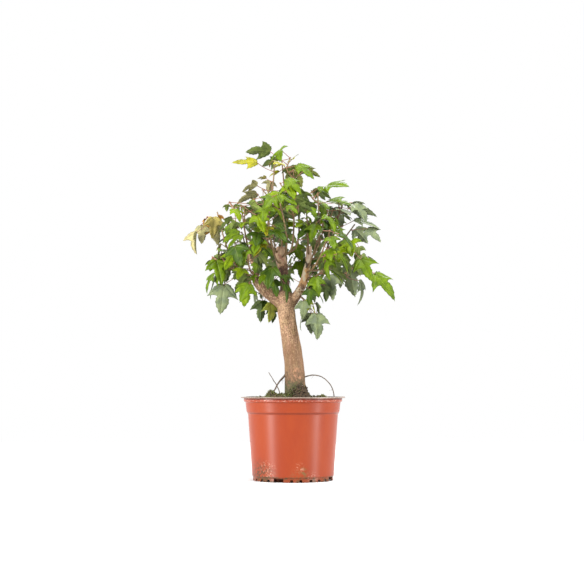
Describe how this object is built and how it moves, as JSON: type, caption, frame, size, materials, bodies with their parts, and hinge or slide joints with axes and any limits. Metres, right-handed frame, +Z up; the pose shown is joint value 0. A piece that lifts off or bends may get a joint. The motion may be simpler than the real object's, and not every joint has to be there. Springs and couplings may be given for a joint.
{
  "type": "young trident maple, pot-grown for bonsai",
  "caption": "Small leafy maple with a thick leaning trunk, cut-back boughs and three-lobed leaves, in a round plastic nursery pot.",
  "frame": {"origin": "centre of the pot's underside, on the ground it stands on", "axes": "+Z up the plant, +X to the right as seen from the front, -Y towards the viewer"},
  "size_m": [0.263, 0.1681, 0.4264],
  "materials": {
    "pot": "satin terracotta-coloured plastic",
    "soil": "dark crumbly potting soil with moss",
    "bark": "matt light brown bark",
    "root": "matt dark brown",
    "leaves": "soft green leaves"
  },
  "bodies": {
    "root": {"pot": "pot", "soil": "soil", "trunk": "bark", "left_bough": "bark", "left_spur": "bark", "middle_bough": "bark", "right_bough": "bark", "right_root": "root", "left_root": "root", "dry_stalk": "root", "left_tip_foliage": "leaves", "left_hanging_foliage": "leaves", "left_low_foliage": "leaves", "under_bough_foliage": "leaves", "left_front_foliage": "leaves", "left_high_foliage": "leaves", "left_back_foliage": "leaves", "fork_foliage": "leaves", "centre_front_foliage": "leaves", "centre_high_foliage": "leaves", "apex_left_foliage": "leaves", "apex_top_foliage": "leaves", "apex_right_foliage": "leaves", "apex_low_foliage": "leaves", "centre_right_foliage": "leaves", "right_high_foliage": "leaves", "right_upper_foliage": "leaves", "right_tip_foliage": "leaves", "right_middle_foliage": "leaves", "right_low_foliage": "leaves", "right_low_tip_foliage": "leaves", "right_under_foliage": "leaves", "right_inner_foliage": "leaves", "fork_right_foliage": "leaves", "hanging_foliage": "leaves", "gap_foliage": "leaves", "back_centre_foliage": "leaves", "back_right_foliage": "leaves", "back_high_foliage": "leaves", "right_back_high_foliage": "leaves", "right_front_foliage": "leaves", "front_high_foliage": "leaves"}
  },
  "joints": []
}
